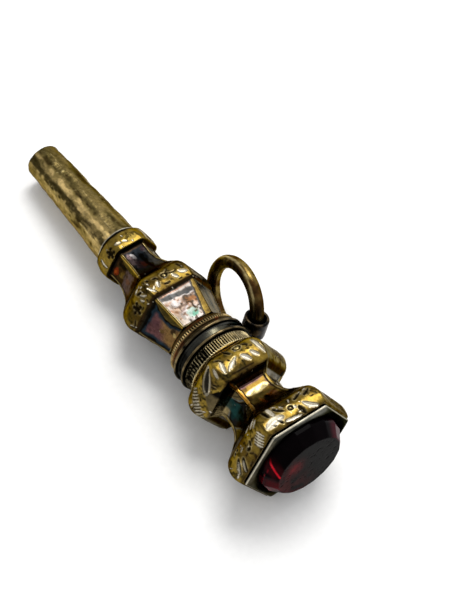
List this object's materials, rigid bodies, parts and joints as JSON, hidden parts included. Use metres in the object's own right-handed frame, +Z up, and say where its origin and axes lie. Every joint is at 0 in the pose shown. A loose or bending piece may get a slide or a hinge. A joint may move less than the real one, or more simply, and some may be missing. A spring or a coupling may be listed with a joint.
{
  "type": "watch key fob with swivel ring and cut stone",
  "caption": "Antique-style hexagonal gold watch key fob lying on its side, with a winding pipe, a ring on a turning collar and a dark red cut stone in its base.",
  "frame": {"origin": "on the table under the middle of the whole object's box, as it lies on its flats", "axes": "+Z up from the table, +X along the object towards the pipe's tip, -Y towards the ring's side"},
  "size_m": [0.0476, 0.0144, 0.0117],
  "materials": {
    "stone": "cut and polished, worn table",
    "bezel_metal": "dull tarnished silver grey",
    "gold_shell": "worn engraved gold with dark tarnish in the hollows",
    "band_metal": "finely milled, tarnished",
    "dark_metal": "dark gunmetal with bright worn lips",
    "ring_metal": "bronze brown, worn bright along the outside",
    "pipe_metal": "pale worn brass mottled with dark spots",
    "steel": "plain"
  },
  "bodies": {
    "root": {"stone": "stone", "bezel": "bezel_metal", "lower_body": "gold_shell", "milled_band": "band_metal", "bead_ring": "band_metal", "upper_body": "gold_shell", "pipe": "pipe_metal", "spindle": "steel"},
    "swivel": {"swivel_collar": "dark_metal"},
    "ring": {"ring": "ring_metal"}
  },
  "joints": [
    {"name": "collar_turn", "type": "hinge", "parent": "root", "child": "swivel", "pos_m": [-0.00772, 0.0005, 0.00491], "axis": [-0.9973, 0, 0.0736], "continuous": true},
    {"name": "ring_swing", "type": "hinge", "parent": "swivel", "child": "ring", "pos_m": [-0.00739, -0.005, 0.00501], "axis": [-0.0707, 0.2807, -0.9572], "range_deg": [0, 160]}
  ]
}
